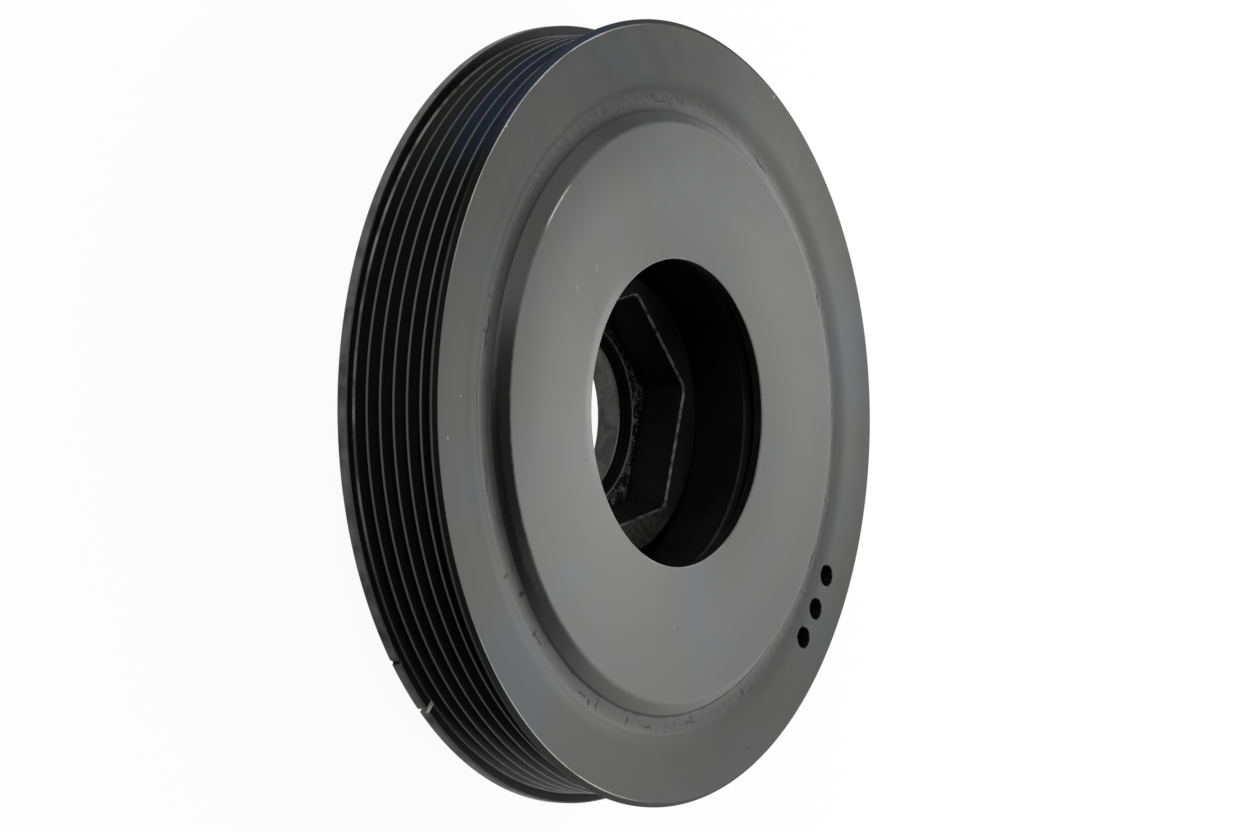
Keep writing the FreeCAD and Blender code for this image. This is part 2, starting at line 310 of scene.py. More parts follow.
class Flow:
    """A number, vector or colour that flows between the nodes of a tree."""

    def __init__(self, tree: "Tree", socket: bpy.types.NodeSocket) -> None:
        """Wrap a socket.

        Args:
            tree: The tree that the socket belongs to.
            socket: The output socket.
        """
        self.tree = tree
        self.socket = socket

    __add__ = __radd__ = math_node("ADD")
    __sub__ = math_node("SUBTRACT")
    __rsub__ = math_node("SUBTRACT", swapped=True)
    __mul__ = __rmul__ = math_node("MULTIPLY")
    __truediv__ = math_node("DIVIDE")
    __pow__ = math_node("POWER")
    root = math_node("SQRT")
    cosine = math_node("COSINE")
    larger = math_node("MAXIMUM")
    angle_to = math_node("ARCTAN2")

    def ramp(self, low: float, high: float) -> "Flow":
        """A smooth step from 0 at one value to 1 at another, which may be lower."""
        inputs = {"Value": self, "From Min": low, "From Max": high, "To Min": 0.0, "To Max": 1.0}
        if low > high:
            inputs.update({"From Min": high, "From Max": low, "To Min": 1.0, "To Max": 0.0})
        settings = {"interpolation_type": "SMOOTHSTEP", "clamp": True}
        return self.tree.flow("ShaderNodeMapRange", "Result", inputs, **settings)


class Tree:
    """The nodes of a material or a world."""

    def __init__(self, tree: bpy.types.NodeTree) -> None:
        """Take over a tree and empty it.

        Args:
            tree: The tree.
        """
        self.tree = tree
        self.tree.nodes.clear()

    def node(
        self, kind: str, inputs: dict[str | int, object] | None = None, **settings: object
    ) -> bpy.types.Node:
        """Make a node.

        Args:
            kind: The node's type.
            inputs: The value or flow of each socket, by name or number.
            **settings: The node's own properties, which are set first.

        Returns:
            The node.
        """
        made = self.tree.nodes.new(kind)
        for name, value in settings.items():
            setattr(made, name, value)
        for name, value in (inputs or {}).items():
            if isinstance(value, Flow):
                self.tree.links.new(value.socket, made.inputs[name])
            else:
                made.inputs[name].default_value = value
        return made

    def flow(
        self,
        kind: str,
        output: str | int = 0,
        inputs: dict[str | int, object] | None = None,
        **settings: object,
    ) -> Flow:
        """Make a node and take one of its outputs.

        Args:
            kind: The node's type.
            output: The output's name or number.
            inputs: The value or flow of each socket, by name or number.
            **settings: The node's own properties, which are set first.

        Returns:
            The output.
        """
        return Flow(self, self.node(kind, inputs, **settings).outputs[output])

    def seen(self) -> Flow:
        """1 on rays that the camera sees, also by way of gloss or glass, and 0 on others."""
        rays = self.node("ShaderNodeLightPath")
        kinds = ("Camera", "Glossy", "Transmission")
        camera, glossy, through = (Flow(self, rays.outputs[f"Is {kind} Ray"]) for kind in kinds)
        return camera.larger(glossy).larger(through)


class Shader(Tree):
    """A material, and the patterns that its finish is written with."""

    def __init__(self, name: str) -> None:
        """Make an empty material.

        Args:
            name: The material's name.
        """
        self.material = bpy.data.materials.new(name)
        self.material.use_nodes = True
        super().__init__(self.material.node_tree)
        self.place = self.flow("ShaderNodeTexCoord", "Object")
        parts = self.node("ShaderNodeSeparateXYZ", {0: self.place})
        self.x, self.y, self.z = (Flow(self, part) for part in parts.outputs)
        self.radius = (self.x * self.x + self.y * self.y).root()
        self.angle = self.y.angle_to(self.x)

    def combine(self, x: Flow | float, y: Flow | float, z: Flow | float) -> Flow:
        """A vector from three numbers."""
        return self.flow("ShaderNodeCombineXYZ", 0, {0: x, 1: y, 2: z})

    def noise(
        self, size: float, detail: float = 3.0, vector: Flow | None = None, distortion: float = 0.0
    ) -> Flow:
        """Soft noise from 0 to 1 around 0.5.

        Args:
            size: The width of one of its blotches, in metres.
            detail: How many finer layers it has.
            vector: Where it is read, or None for the piece's own place.
            distortion: How far it is swirled.

        Returns:
            The noise.
        """
        inputs = {
            "Vector": vector or self.place,
            "Scale": 1 / size,
            "Detail": detail,
            "Roughness": 0.55,
            "Distortion": distortion,
        }
        return self.flow("ShaderNodeTexNoise", "Fac", inputs)

    def dots(self, spacing: float, size: float, share: float) -> Flow:
        """Scattered round dots: 1 in a dot and 0 outside.

        Args:
            spacing: The mean distance between places for a dot.
            size: A dot's radius, in metres.
            share: The share of those places that hold a dot.

        Returns:
            The mask of the dots.
        """
        cells = self.node("ShaderNodeTexVoronoi", {"Vector": self.place, "Scale": 1 / spacing})
        distance = Flow(self, cells.outputs["Distance"])
        chosen = Flow(self, cells.outputs["Color"]).ramp(1 - share, 1 - share + 0.01)
        return distance.ramp(size / spacing, 0.6 * size / spacing) * chosen

    def turned_lines(self, size: float) -> Flow:
        """Fine rings of a mean spacing, as a lathe tool leaves them, from 0 to 1."""
        wander = self.noise(12 * MM, 2.0) * (0.25 * size)
        return self.noise(size, 2.0, self.combine(self.radius + wander, self.z, 0.0))

    def mix(self, share: Flow | float, first: Flow | Colour, second: Flow | Colour) -> Flow:
        """A colour between two colours."""
        start, end = (part if isinstance(part, Flow) else (*part, 1.0) for part in (first, second))
        settings = {"data_type": "RGBA", "blend_type": "MIX"}
        return self.flow("ShaderNodeMix", 2, {0: share, 6: start, 7: end}, **settings)

    def shade(self, colour: Flow, strength: Flow) -> Flow:
        """A colour made lighter or darker by a number."""
        inputs = {0: colour, 1: self.combine(strength, strength, strength)}
        return self.flow("ShaderNodeVectorMath", "Vector", inputs, operation="MULTIPLY")

    def bump(self, height: Flow, distance: float, strength: float, normal: Flow | None = None) -> Flow:
        """A bumped normal.

        Args:
            height: The relief, from 0 to 1.
            distance: The relief's real height, in metres.
            strength: How much of it shows.
            normal: The normal that it is laid over.

        Returns:
            The normal.
        """
        inputs = {"Height": height, "Distance": distance, "Strength": strength}
        if normal:
            inputs["Normal"] = normal
        return self.flow("ShaderNodeBump", "Normal", inputs)

    def near_angle(self, angle: float, reach: float) -> Flow:
        """1 near an angle round the axis, falling to 0 a reach away from it, in degrees."""
        away = (self.angle - math.radians(angle)).cosine()
        return away.ramp(math.cos(math.radians(reach)), math.cos(math.radians(reach / 3)))

    def near_ring(self, radius: float, height: float) -> Flow:
        """The distance from a ring round the axis at a radius and height."""
        across = self.radius - radius
        along = self.z - height
        return (across * across + along * along).root()

    def near_spot(self, spot: "Spot") -> Flow:
        """1 at a spot on a face and 0 away from it, with an uneven border."""
        angle, tilt = math.radians(spot.angle), math.radians(spot.turn)
        across = self.x - spot.radius * math.cos(angle)
        along = self.y - spot.radius * math.sin(angle)
        turned_x = (across * math.cos(tilt) + along * math.sin(tilt)) / spot.length
        turned_y = (along * math.cos(tilt) - across * math.sin(tilt)) / spot.width
        distance = (turned_x * turned_x + turned_y * turned_y).root()
        on_face = self.z.ramp(spot.height - spot.depth, spot.height)
        return (distance + self.noise(0.6 * MM) * 0.8).ramp(1.1, 0.7) * on_face

    def wear_and_glints(self, rings: "Sequence[WearAndGlintRing]", grain: Flow) -> Flow:
        """The mask of edges with wear or a painted highlight, 1 where bare metal or the highlight
        shows.

        Args:
            rings: The edges round the axis.
            grain: Fine noise that frays the mask's border.

        Returns:
            The mask.
        """
        patches = self.noise(9 * MM, 4.0)
        wear_and_glint = grain * 0.0
        for ring in rings:
            reach = self.near_ring(ring.radius, ring.height) / ring.width
            uneven = reach + (patches - ring.share) * ring.raggedness + (grain - 0.5) * 0.5
            shown = uneven.ramp(1.0, 0.35) * ring.strength
            if ring.reach < ALL_ROUND:
                shown = shown * self.near_angle(ring.angle, ring.reach)
            wear_and_glint = wear_and_glint.larger(shown)
        return wear_and_glint

    def painted_sheen(self, painted_sheen: "PaintedSheen") -> Flow:
        """Painted reflection: two bright and two dark sectors round the axis, and a lighter side,
        around 1.
        """
        lobes = ((self.angle - math.radians(painted_sheen.angle)) * 2.0).cosine() * painted_sheen.depth
        return 1.0 + lobes + (self.angle - math.radians(painted_sheen.lean_angle)).cosine() * painted_sheen.lean

    def darkened(self, dark_patches: "Sequence[DarkPatch]") -> Flow:
        """How much of its tone a surface keeps under dark patches, some of them painted shade, from 0
        to 1.

        Args:
            dark_patches: The patches.

        Returns:
            The share of the tone that is left.
        """
        fray = (self.noise(2.5 * MM, 4.0) - 0.5) * (0.8 * MM)
        frayed = self.radius + fray
        kept = fray * 0.0 + 1.0
        for patch in dark_patches:
            inside = frayed.ramp(patch.inner - patch.soft, patch.inner + patch.soft)
            inside = inside * frayed.ramp(patch.outer + patch.soft, patch.outer - patch.soft)
            kept = kept * (1.0 - inside * self.near_angle(patch.angle, patch.reach) * patch.strength)
        return kept

    def finish(self, sockets: dict[str, object]) -> bpy.types.Material:
        """End the material in one principled surface.

        Args:
            sockets: The surface's sockets, with spaces written as underscores.

        Returns:
            The material.
        """
        inputs = {name.replace("_", " "): value for name, value in sockets.items()}
        surface = self.flow("ShaderNodeBsdfPrincipled", 0, inputs)
        self.node("ShaderNodeOutputMaterial", {"Surface": surface})
        return self.material


# Finishes


def grey(value: float, warmth: float = 0.0) -> Colour:
    """A grey of a value, with less blue by its warmth."""
    return value, value, value - warmth


@dataclass(frozen=True)
class Spot:
    """A chip or a speck of dirt on a face that looks along the axis, with its angles in degrees."""

    height: float
    radius: float
    angle: float
    length: float
    width: float
    turn: float = 0.0
    depth: float = 0.3 * MM


def spots(height: float, *places: tuple[float, ...], depth: float = 0.3 * MM) -> tuple[Spot, ...]:
    """Spots on one face.

    Args:
        height: The face's height.
        *places: Each spot's radius, angle, length, width and turn, in millimetres and degrees.
        depth: How far below the face they reach.

    Returns:
        The spots.
    """
    return tuple(
        Spot(height, radius * MM, angle, length * MM, width * MM, *turn, depth=depth)
        for radius, angle, length, width, *turn in places
    )


@dataclass(frozen=True)
class PaintedSheen:
    """Painted reflection: two sectors of a depth round the axis, and a lean to one side, in degrees."""

    angle: float
    depth: float
    lean_angle: float = 0.0
    lean: float = 0.0


@dataclass(frozen=True)
class DarkPatch:
    """A dark patch between two radii, about an angle in degrees, with borders that fade."""

    angle: float
    reach: float
    inner: float
    outer: float
    strength: float
    soft: float


def dark_patches(*places: tuple[float, ...]) -> tuple[DarkPatch, ...]:
    """Dark patches on one piece.

    Args:
        *places: Each patch's angle and reach in degrees, its inner and outer radius in millimetres,
        its strength and, where it fades slowly, half of its border in millimetres.

    Returns:
        The patches.
    """
    made = []
    for angle, reach, inner, outer, strength, *soft in places:
        border = soft[0] if soft else SHARP_BORDER
        made.append(DarkPatch(angle, reach, inner * MM, outer * MM, strength, border * MM))
    return tuple(made)


@dataclass(frozen=True)
class WearAndGlintRing:
    """A paler edge round the axis, all round or about an angle, for coat wear and painted highlights.
    """

    radius: float
    height: float
    width: float
    share: float
    raggedness: float = 1.6
    strength: float = 1.0
    angle: float = 0.0
    reach: float = ALL_ROUND


class Grain(Enum):
    """How coarse the metal under a coat is, as the height of its relief in metres."""

    FINE = 0.006 * MM
    CAST = 0.06 * MM


@dataclass(frozen=True)
class Finish:
    """What a surface is made of."""

    name: str

    def material(self) -> bpy.types.Material:
        """Build the finish's material.

        Returns:
            The material.
        """
        shader = Shader(self.name)
        return shader.finish(self.surface(shader))

    def surface(self, shader: Shader) -> dict[str, object]:
        """The sockets of the finish's principled surface, from the nodes of its material."""
        raise NotImplementedError


@dataclass(frozen=True)
class GreyCoat(Finish):
    """Dark grey satin coat on turned or pressed metal: cloudy, edge wear, painted highlights and shade.
    """

    colour: Colour
    warm: Colour
    cool: Colour
    painted_sheen: PaintedSheen
    roughness: float = 0.6
    wear_and_glints: tuple[WearAndGlintRing, ...] = ()
    wear_and_glint_colour: Colour = grey(0.45, 0.01)
    pale_spots: tuple[Spot, ...] = ()
    pale_colour: Colour = grey(0.46, 0.01)
    dark_spots: tuple[Spot, ...] = ()
    dark_colour: Colour = grey(0.02)
    pale_specks: Colour = grey(0.24)
    dark_specks: Colour = grey(0.06)
    dark_patches: tuple[DarkPatch, ...] = ()

    def surface(self, shader: Shader) -> dict[str, object]:
        """The coat, cloudy and specked, with edge wear, spots, dark patches and painted light and
        shade.
        """
        clouds = shader.noise(38 * MM, 3.0, distortion=0.4)
        mottle = shader.noise(6 * MM, 4.0)
        grain = shader.noise(0.35 * MM, 4.0)
        tint = shader.mix(clouds.ramp(0.35, 0.65), self.warm, self.cool)
        colour = shader.mix(shader.noise(22 * MM, 2.0).ramp(0.3, 0.7), self.colour, tint)
        tone = 0.86 + 0.2 * clouds + 0.06 * mottle + 0.05 * grain
        # The tone carries a painted reflection round the axis and dark patches, some of them painted
        # shade
        colour = shader.shade(colour, tone * shader.painted_sheen(self.painted_sheen) * shader.darkened(self.dark_patches))
        colour = shader.mix(shader.dots(3.1 * MM, 0.16 * MM, 0.05), colour, self.pale_specks)
        colour = shader.mix(shader.dots(2.7 * MM, 0.2 * MM, 0.05), colour, self.dark_specks)
        # Wear on the edges, and painted highlights on the rings that are kept to an angle
        wear_and_glint = shader.wear_and_glints(self.wear_and_glints, grain)
        colour = shader.mix(wear_and_glint, colour, self.wear_and_glint_colour)
        for places, paint in ((self.pale_spots, self.pale_colour), (self.dark_spots, self.dark_colour)):
            for spot in places:
                colour = shader.mix(shader.near_spot(spot), colour, paint)
        relief = shader.bump(mottle, 0.02 * MM, 0.5)
        return {
            "Base_Color": colour,
            "Roughness": self.roughness + 0.14 * (mottle - 0.5) - 0.06 * wear_and_glint,
            "Metallic": 0.4 * wear_and_glint,
            "Specular_IOR_Level": 0.07,
            "Normal": shader.bump(grain, Grain.FINE.value, 0.7, relief),
        }


@dataclass(frozen=True)
class TrackCoat(Finish):
    """Black coat with painted shade in the belt's grooves, which the belt has scuffed grey on the
    crests.
    """

    crest_radius: float
    land_height: float
    # Near-black is coat and painted shade; the paler grey is painted light and the blue a painted
    # reflection
    black: Colour = grey(0.008)
    dust_and_painted_light_colour: Colour = grey(0.06, 0.002)
    crest_grey: Colour = grey(0.14, 0.002)
    bare: Colour = grey(0.4, 0.01)
    blue: Colour = (0.032, 0.052, 0.11)

    def surface(self, shader: Shader) -> dict[str, object]:
        """Black flanks, with painted light top and bottom and a painted blue reflection, and the
        crests.
        """
        patches = shader.noise(7 * MM, 4.0)
        grain = shader.noise(0.3 * MM, 4.0)
        rings = shader.turned_lines(0.25 * MM)
        uneven = (patches - 0.5) * (0.12 * MM) + (grain - 0.5) * (0.08 * MM)
        depth = self.crest_radius - shader.radius + uneven
        crest = depth.ramp(0.16 * MM, 0.02 * MM) * depth.ramp(-0.3 * MM, -0.12 * MM)
        # Painted light: flanks paler near the top and bottom, where light falls into the grooves;
        # crests less grey near the top
        upper = shader.near_angle(104, 52) ** 2.0
        lower = shader.near_angle(-104, 52) ** 2.0
        dust_and_painted_light = (upper * 0.65).larger(lower)
        # Painted reflection: a blue tint on the flanks at the upper left
        painted_reflection = shader.near_angle(120, 24) * (0.6 + 0.8 * patches)
        flank = shader.mix(dust_and_painted_light * shader.z.ramp(10.7 * MM, 11 * MM), self.black, self.dust_and_painted_light_colour)
        flank = shader.mix(painted_reflection * 0.6 * shader.z.ramp(14 * MM, 24 * MM), flank, self.blue)
        land = (shader.near_ring(self.crest_radius, self.land_height) + uneven).ramp(0.4 * MM, 0.2 * MM)
        # Kept to the left, the land's pale line is a painted highlight, with bare metal in patches
        land = land * shader.near_angle(158, 54)
        crest = crest.larger(land)
        colour = shader.mix(crest * (1.0 - 0.35 * upper), flank, self.crest_grey)
        colour = shader.mix(land * patches.ramp(0.35, 0.6), colour, self.bare)
        return {
            "Base_Color": shader.shade(colour, 0.7 + 0.35 * rings + 0.25 * patches),
            "Metallic": 0.3 * crest,
            "Roughness": 0.55 + 0.15 * (patches - 0.5) + 0.1 * (rings - 0.5),
            "Specular_IOR_Level": 0.04,
            "Normal": shader.bump(rings, 0.006 * MM, 0.7),
        }


@dataclass(frozen=True)
class TurnedIron(Finish):
    """Bare turned iron, with fine tool rings and dull patches."""

    colour: Colour
    roughness: float = 0.4
    dullness: float = 0.4

    def surface(self, shader: Shader) -> dict[str, object]:
        """The turned metal, stained dull in patches."""
        rings = shader.turned_lines(0.12 * MM)
        patch = shader.noise(7 * MM, 4.0, distortion=0.8)
        dull = tuple(self.dullness * part for part in self.colour)
        colour = shader.mix(patch.ramp(0.42, 0.68), self.colour, dull)
        return {
            "Base_Color": shader.shade(colour, 0.8 + 0.4 * rings),
            "Metallic": 0.6,
            "Roughness": self.roughness + 0.2 * (patch - 0.5) + 0.12 * (rings - 0.5),
            "Normal": shader.bump(rings, 0.006 * MM, 0.8),
        }


@dataclass(frozen=True)
class BlackIron(Finish):
    """Black-coated iron, rough where cast, with wear on machined edges and painted light about an
    angle.
    """

    colour: Colour
    grain: Grain = Grain.FINE
    wear_and_glints: tuple[WearAndGlintRing, ...] = ()
    wear_and_glint_colour: Colour = grey(0.3, 0.005)
    fleck_share: float = 0.0
    fleck_colour: Colour = grey(0.3, 0.01)
    # Given an angle, the haze and the flecks are painted light on the side that light reaches
    painted_light_colour: Colour = grey(0.06, 0.002)
    painted_light_angle: float = 0.0
    painted_light_reach: float = ALL_ROUND

    def surface(self, shader: Shader) -> dict[str, object]:
        """The lumpy casting, with pale flecks, edge wear, and painted light kept to an angle."""
        lumps = shader.noise(1.6 * MM, 5.0)
        pits = shader.noise(0.5 * MM, 3.0)
        # Here the pale blotches are dust
        dust_and_painted_light = shader.noise(14 * MM, 3.0)
        dust_and_painted_light_colour = tuple(2.0 * part for part in self.colour)
        colour = shader.mix(dust_and_painted_light.ramp(0.4, 0.75), self.colour, dust_and_painted_light_colour)
        colour = shader.shade(colour, 0.7 + 0.6 * lumps)
        flecks = (pits + 0.9 * (lumps - 0.5)).ramp(0.5, 0.62) * self.fleck_share
        # Painted light: a pale haze on the lumps, and flecks, only about the given angle
        if self.painted_light_reach < ALL_ROUND:
            lit = shader.near_angle(self.painted_light_angle, self.painted_light_reach)
            colour = shader.mix(lit * lumps.ramp(0.1, 0.7), colour, self.painted_light_colour)
            flecks = flecks * lit
        colour = shader.mix(flecks, colour, self.fleck_colour)
        wear_and_glint = shader.wear_and_glints(self.wear_and_glints, pits)
        relief = shader.bump(lumps, 2.5 * self.grain.value, 0.8)
        return {
            "Base_Color": shader.mix(wear_and_glint, colour, self.wear_and_glint_colour),
            "Roughness": 0.52 + 0.2 * (pits - 0.5) - 0.1 * wear_and_glint,
            "Metallic": 0.3 * wear_and_glint,
            "Specular_IOR_Level": 0.04,
            "Normal": shader.bump(pits, self.grain.value, 0.8, relief),
        }


@dataclass(frozen=True)
class RubbedEdge(Finish):
    """A machined edge whose coat is rubbed through in an uneven line."""

    coat: Colour
    metal: Colour
    patch_size: float = 5 * MM

    def surface(self, shader: Shader) -> dict[str, object]:
        """The coat and the metal in patches, with fine scratches."""
        patches = shader.noise(self.patch_size, 5.0).ramp(0.3, 0.6)
        scratch = shader.noise(0.25 * MM, 3.0)
        colour = shader.mix(patches, self.coat, self.metal)
        return {
            "Base_Color": shader.shade(colour, 0.7 + 0.6 * scratch),
            "Metallic": 0.3 * patches,
            "Specular_IOR_Level": 0.1,
            "Roughness": 0.45 + 0.2 * (scratch - 0.5),
            "Normal": shader.bump(scratch, 0.02 * MM, 0.8),
        }


@dataclass(frozen=True)
class MarkPaint(Finish):
    """White paint that fills a timing mark, scuffed along its edges."""

    colour: Colour = grey(0.85, 0.02)
    scuffed: Colour = grey(0.3, 0.01)

    def surface(self, shader: Shader) -> dict[str, object]:
        """The paint and its scuffs."""
        scuffs = shader.noise(0.4 * MM, 4.0)
        return {
            "Base_Color": shader.mix(scuffs.ramp(0.66, 0.74), self.colour, self.scuffed),
            "Roughness": 0.5 + 0.2 * (scuffs - 0.5),
            "Normal": shader.bump(scuffs, 0.03 * MM, 0.6),
        }


@dataclass(frozen=True)
class BondedRubber(Finish):
    """Moulded rubber under a thin grey overspray, torn to black along a ragged line of flash."""

    rubber: Colour
    overspray: Colour
    flash_radius: float
    contact_radius: float
    painted_sheen: PaintedSheen = PaintedSheen(0.0, 0.0)
    dark_spots: tuple[Spot, ...] = ()
    dark_patches: tuple[DarkPatch, ...] = ()

    def surface(self, shader: Shader) -> dict[str, object]:
        """Overspray, black at the flash and spots, and a dark joint and painted shade at the drum's
        edge.
        """
        waves = shader.noise(5 * MM, 4.0, distortion=0.5)
        patches = shader.noise(11 * MM, 3.0)
        fine = shader.noise(0.5 * MM, 4.0)
        ragged = shader.radius + (waves - 0.5) * (3.0 * MM) + (fine - 0.5) * (0.7 * MM)
        inner = ragged.ramp(self.flash_radius - 0.15 * MM, self.flash_radius + 0.05 * MM)
        outer = ragged.ramp(self.flash_radius + 0.5 * MM, self.flash_radius + 0.25 * MM)
        torn = inner * outer * patches.ramp(0.56, 0.64)
        # At the drum's edge, a sharp dark joint line on the lower side and a soft band of painted shade
        # all round
        edge = shader.radius + (waves - 0.5) * (0.9 * MM) + (fine - 0.5) * (0.3 * MM)
        soft = edge.ramp(self.contact_radius + 0.9 * MM, self.contact_radius)
        sharp = edge.ramp(self.contact_radius + 0.6 * MM, self.contact_radius + 0.3 * MM)
        joint_and_painted_shade = (soft * 0.4).larger(sharp * shader.near_angle(-95, 75) * 0.9)
        colour = shader.mix(joint_and_painted_shade.larger(torn * 0.8), self.overspray, self.rubber)
        for spot in self.dark_spots:
            colour = shader.mix(shader.near_spot(spot) * 0.9, colour, self.rubber)
        # A painted reflection round the axis, and dark patches, some of them painted shade
        tone = (0.88 + 0.16 * waves + 0.08 * fine) * shader.painted_sheen(self.painted_sheen)
        relief = shader.bump(waves, 0.2 * MM, 0.6)
        relief = shader.bump(fine, 0.04 * MM, 0.6, relief)
        return {
            "Base_Color": shader.shade(colour, tone * shader.darkened(self.dark_patches)),
            "Roughness": 0.6 + 0.2 * (fine - 0.5),
            "Specular_IOR_Level": 0.08,
            "Normal": shader.bump(torn, 0.08 * MM, 0.8, relief),
        }


# Sub-assemblies


def box_of(node: str) -> tuple[float, float, float]:
    """A round node's outer radius, a hair inside its box, and its rear and front heights."""
    low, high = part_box(node)
    return min(high.x, high.y, -low.x, -low.y) - BOX_MARGIN, low.z, high.z


@dataclass(frozen=True)
class Zone:
    """The faces between two heights, two radii and two rises of their normal."""

    bottom: float = -math.inf
    top: float = math.inf
    inner: float = -math.inf
    outer: float = math.inf
    least_rise: float = -math.inf
    most_rise: float = math.inf

    def holds(self, centre: Vector, normal: Vector) -> bool:
        """Whether a face with a centre and a normal lies in the zone."""
        return (
            self.bottom < centre.z < self.top
            and self.inner < math.hypot(centre.x, centre.y) < self.outer
            and self.least_rise < normal.z < self.most_rise
        )


def dress_faces(finish: Finish, passes: Callable[[Vector, Vector], bool]) -> None:
    """Give the active piece's faces that pass a test a finish of their own.

    Args:
        finish: The finish.
        passes: Says whether a face with a centre and a normal gets it.
    """
    piece = bpy.context.object
    piece.data.materials.append(finish.material())
    bpy.ops.object.mode_set(mode="EDIT")
    count = select("FACE", lambda face: passes(face.calc_center_median(), face.normal))
    piece.active_material_index = len(piece.data.materials) - 1
    bpy.ops.object.material_slot_assign()
    bpy.ops.object.mode_set(mode="OBJECT")
    LOG.info("%s: %d faces in %s", piece.name, count, finish.name)


@dataclass
class BeltPulley:
    """The iron ring with six V grooves between two flanges."""

    node: str = "belt_pulley"
    wall: float = 16.05 * MM
    rear_flange: float = 2.5 * MM
    flange_height: float = 2.4 * MM
    flange_round: float = 0.35 * MM
    flange_lip: float = 0.5 * MM
    track_depth: float = 2.88 * MM
    rear_land: float = 0.27 * MM
    grooves: int = 6
    pitch: float = 3.56 * MM
    crest: float = 0.5 * MM
    half_angle: float = math.radians(20)
    root_radius: float = 0.6 * MM
    root_points: int = 5
    tip: float = 0.5 * MM
    bevel_width: float = 0.8 * MM
    bevel_drop: float = 1.1 * MM
    tip_round: float = 0.2 * MM
    bevel_round: float = 0.3 * MM
    bore_chamfer: float = 0.6 * MM
    bore_slope: float = 2.8 * MM
    bore_blend: float = 12 * MM
    hole_radius: float = 2.5 * MM
    hole_depth: float = 12 * MM
    hole_circle: float = 77.14 * MM
    hole_break: float = 0.2 * MM
    drill_point: float = 1.5 * MM
    drill_steps: int = 48
    hole_angles: tuple[float, ...] = (-30.2, -37.1, -43.5)
    slot_angle: float = -133.6
    slot_width: float = 1.3 * MM
    slot_depth: float = 2.6 * MM
    nick_angle: float = -143.0
    nick_width: float = 1.2 * MM
    nick_depth: float = 0.7 * MM

    def __post_init__(self) -> None:
        """Work out the ring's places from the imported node."""
        self.outer, self.rear, self.front = box_of(self.node)
        self.bore = self.outer - self.wall
        self.crest_radius = self.outer - self.flange_height
        self.half_width = (self.pitch - self.crest) / 2
        self.first_groove = self.rear + self.rear_flange + self.rear_land + self.half_width

    def build(self) -> bpy.types.Object:
        """Model the ring, drill it, mark it and dress it.

        Returns:
            The finished ring.
        """
        piece = turn("pulley_ring", self._outline())
        for angle in self.hole_angles:
            cut(piece, self._drill(angle))
        cut(piece, self._mark("timing_slot", self.slot_angle, self.slot_width, self.slot_depth))
        cut(piece, self._mark("timing_nick", self.nick_angle, self.nick_width, self.nick_depth))
        bpy.ops.object.shade_smooth_by_angle(angle=SMOOTH_ANGLE)
        self._dress(piece)
        hand_over(piece, "pulley_iron", self.node)
        return piece

    def _outline(self) -> list[Corner]:
        """The ring's outline, from the rear face round the track to the front face and bore."""
        flange_inner = self.rear + self.rear_flange
        corners = [
            Corner(self.bore + self.bore_chamfer, self.rear),
            Corner(self.outer, self.rear, self.flange_round),
            Corner(self.outer, flange_inner, self.flange_round),
            Corner(self.crest_radius, flange_inner),
        ]
        for index in range(self.grooves):
            corners += self._groove(self.first_groove + index * self.pitch, index)
        return corners + [
            Corner(self.outer, self.front - self.bevel_width - self.tip),
            Corner(self.outer, self.front - self.bevel_width, self.tip_round),
            Corner(self.outer - self.bevel_drop, self.front, self.bevel_round),
            Corner(self.bore + self.bore_slope, self.front, self.bore_blend),
            Corner(self.bore, self.front - self.bore_chamfer),
            Corner(self.bore, self.rear + self.bore_chamfer),
        ]

    def _groove(self, centre: float, index: int) -> list[Corner]:
        """One groove: its rear crest edge, the arc at its root and its front crest edge."""
        apex = self.crest_radius - self.half_width / math.tan(self.half_angle)
        arc_centre = apex + self.root_radius / math.sin(self.half_angle)
        sweep = math.pi / 2 - self.half_angle
        corners = [Corner(self.crest_radius, centre - self.half_width)]
        for step in range(self.root_points):
            turn_angle = sweep * (2 * step / (self.root_points - 1) - 1)
            radius = arc_centre - self.root_radius * math.cos(turn_angle)
            corners.append(Corner(radius, centre + self.root_radius * math.sin(turn_angle)))
        if index < self.grooves - 1:
            corners.append(Corner(self.crest_radius, centre + self.half_width))
        return corners

    def _drill(self, angle: float) -> bpy.types.Object:
        """A drill with its point and the small chamfer that deburring leaves."""
        floor = self.front - self.hole_depth
        wide = self.hole_radius + self.hole_break
        cutter = turn(
            "drill",
            [
                Corner(0.0, floor - self.drill_point),
                Corner(self.hole_radius, floor),
                Corner(self.hole_radius, self.front - self.hole_break),
                Corner(wide, self.front),
                Corner(wide, self.front + PROUD),
                Corner(0.0, self.front + PROUD),
            ],
            steps=self.drill_steps,
        )
        cutter.data.transform(Matrix.Translation((self.hole_circle, 0, 0)))
        turn_about_axis(cutter, math.radians(angle))
        return cutter

    def _mark(self, name: str, angle: float, width: float, depth: float) -> bpy.types.Object:
        """A block that cuts a timing mark into the rear flange's edge."""
        length = self.rear_flange + 0.5 * self.rear_land + PROUD
        size = Vector((depth + PROUD, width, length))
        centre = Vector((self.outer - depth + size.x / 2, 0, self.rear - PROUD + length / 2))
        cutter = block(name, size, centre)
        turn_about_axis(cutter, math.radians(angle))
        return cutter

